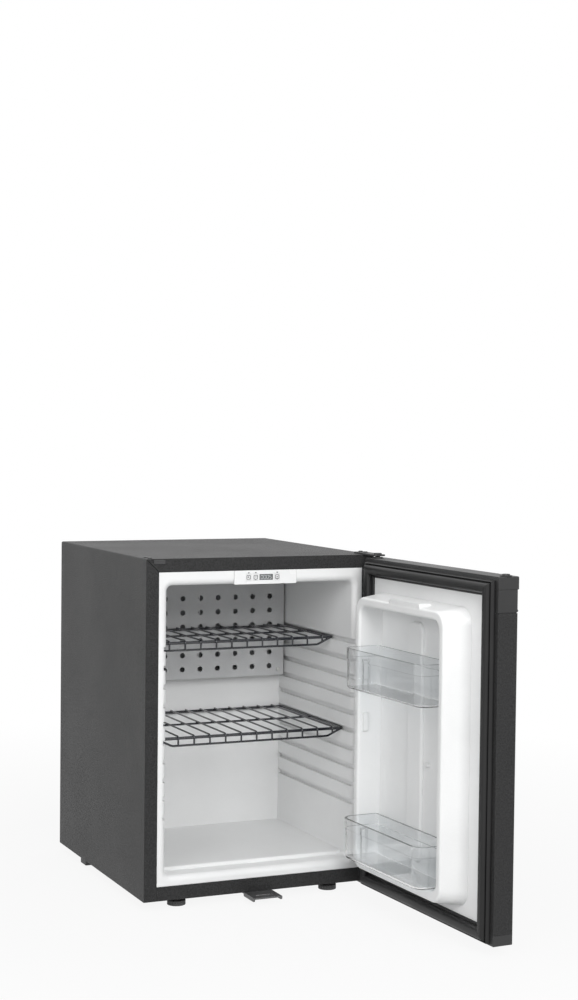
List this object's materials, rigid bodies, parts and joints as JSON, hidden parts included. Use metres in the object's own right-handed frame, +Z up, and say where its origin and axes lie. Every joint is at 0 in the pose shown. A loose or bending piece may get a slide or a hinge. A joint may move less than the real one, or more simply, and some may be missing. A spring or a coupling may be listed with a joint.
{
  "type": "minibar fridge",
  "caption": "Small hotel absorption fridge with an insulated cabinet, hinged foam door, clear door bins, wire shelves, control keys, keyed lock and levelling feet.",
  "frame": {"origin": "on the floor below the middle of the cabinet's footprint", "axes": "+X to the right seen from the front, +Y towards the back, +Z up; the door stands open 92 degrees on the right"},
  "size_m": [0.4256, 0.8744, 0.5665],
  "materials": {
    "shell_paint": "fine textured powder coat, dark grey",
    "galvanised": "galvanised sheet",
    "foam": "grey rigid foam, hidden",
    "liner_white": "smooth white moulded plastic",
    "cover_grey": "grey moulded plastic, fine grain",
    "cold_alloy": "plain alloy",
    "unit_paint": "black enamel on steel tube",
    "trim_plastic": "dark grey moulded plastic",
    "panel_plastic": "white film over plastic",
    "board_green": "circuit board",
    "display_grey": "grey liquid-crystal display",
    "key_film": "white key with a plain mark",
    "lens_clear": "frosted clear plastic",
    "steel": "zinc-plated steel",
    "hinge_paint": "dark grey paint on steel",
    "foot_plastic": "black moulded plastic",
    "shelf_wire": "dark coated wire",
    "gasket": "black magnetic gasket",
    "bin_clear": "clear moulded plastic",
    "bush_plastic": "low-friction plastic",
    "lock_chrome": "plated"
  },
  "bodies": {
    "cabinet": {"cabinet_wrapper": "shell_paint", "base_pan": "shell_paint", "rear_sheet": "galvanised", "cabinet_foam": "foam", "inner_liner": "liner_white", "evaporator_cover": "cover_grey", "cover_screws": "steel", "evaporator_fins": "cold_alloy", "evaporator_tube": "unit_paint", "drip_tray": "cover_grey", "sensor_probe": "steel", "boiler": "galvanised", "heater_cartridge": "trim_plastic", "condenser": "unit_paint", "condenser_fins": "cold_alloy", "absorber_coil": "unit_paint", "absorber_vessel": "unit_paint", "liquid_line": "unit_paint", "unit_brackets": "galvanised", "supply_box": "trim_plastic", "mains_inlet": "foot_plastic", "control_fascia": "panel_plastic", "control_case": "liner_white", "control_board": "board_green", "control_display": "display_grey", "lamp_lens": "lens_clear", "flange_plug": "trim_plastic", "spare_hole_plugs": "trim_plastic", "top_hinge": "hinge_paint", "bottom_hinge": "hinge_paint", "top_hinge_pin": "hinge_paint", "bottom_hinge_pin": "steel", "hinge_screws": "hinge_paint", "rear_feet": "foot_plastic", "lock_keeper": "hinge_paint", "keeper_screws": "steel"},
    "door": {"door_skin": "shell_paint", "door_grip_rail": "trim_plastic", "door_top_trim": "trim_plastic", "door_bottom_trim": "trim_plastic", "door_foam": "foam", "door_liner": "liner_white", "door_gasket": "gasket", "top_bush": "bush_plastic", "bottom_bush": "bush_plastic", "door_hole_plug": "trim_plastic", "lock_barrel": "lock_chrome"},
    "upper_shelf": {"upper_shelf": "shelf_wire"},
    "lower_shelf": {"lower_shelf": "shelf_wire"},
    "upper_bin": {"upper_bin": "bin_clear"},
    "lower_bin": {"lower_bin": "bin_clear"},
    "button_light": {"button_light": "key_film"},
    "button_set": {"button_set": "key_film"},
    "button_cold": {"button_cold": "key_film"},
    "foot_left": {"foot_left": "foot_plastic"},
    "foot_right": {"foot_right": "foot_plastic"},
    "lock": {"lock_cam": "steel"}
  },
  "joints": [
    {"name": "door_swing", "type": "hinge", "parent": "cabinet", "child": "door", "pos_m": [0.192, -0.256, 0.287], "axis": [0, 0, 1], "range_deg": [-92, 28]},
    {"name": "upper_shelf_slide", "type": "slide", "parent": "cabinet", "child": "upper_shelf", "axis": [0, -1, 0], "range_m": [0, 0.1]},
    {"name": "lower_shelf_slide", "type": "slide", "parent": "cabinet", "child": "lower_shelf", "axis": [0, -1, 0], "range_m": [0, 0.06]},
    {"name": "upper_bin_lift", "type": "slide", "parent": "door", "child": "upper_bin", "axis": [0, 0, 1], "range_m": [0, 0.042]},
    {"name": "lower_bin_lift", "type": "slide", "parent": "door", "child": "lower_bin", "axis": [0, 0, 1], "range_m": [0, 0.042]},
    {"name": "lock_turn", "type": "hinge", "parent": "door", "child": "lock", "pos_m": [0.19383, -0.45155, 0.024], "axis": [-0.9994, -0.0349, 0], "range_deg": [-90, 0]},
    {"name": "button_light_press", "type": "slide", "parent": "cabinet", "child": "button_light", "axis": [0, 1, 0], "range_m": [0, 0.0006], "stiffness_N_per_m": 1500},
    {"name": "button_set_press", "type": "slide", "parent": "cabinet", "child": "button_set", "axis": [0, 1, 0], "range_m": [0, 0.0006], "stiffness_N_per_m": 1500},
    {"name": "button_cold_press", "type": "slide", "parent": "cabinet", "child": "button_cold", "axis": [0, 1, 0], "range_m": [0, 0.0006], "stiffness_N_per_m": 1500},
    {"name": "foot_left_turn", "type": "hinge", "parent": "cabinet", "child": "foot_left", "pos_m": [-0.135, -0.197, 0.015], "axis": [0, 0, 1], "range_deg": [-360, 360]},
    {"name": "foot_right_turn", "type": "hinge", "parent": "cabinet", "child": "foot_right", "pos_m": [0.135, -0.197, 0.015], "axis": [0, 0, 1], "range_deg": [-360, 360]}
  ]
}
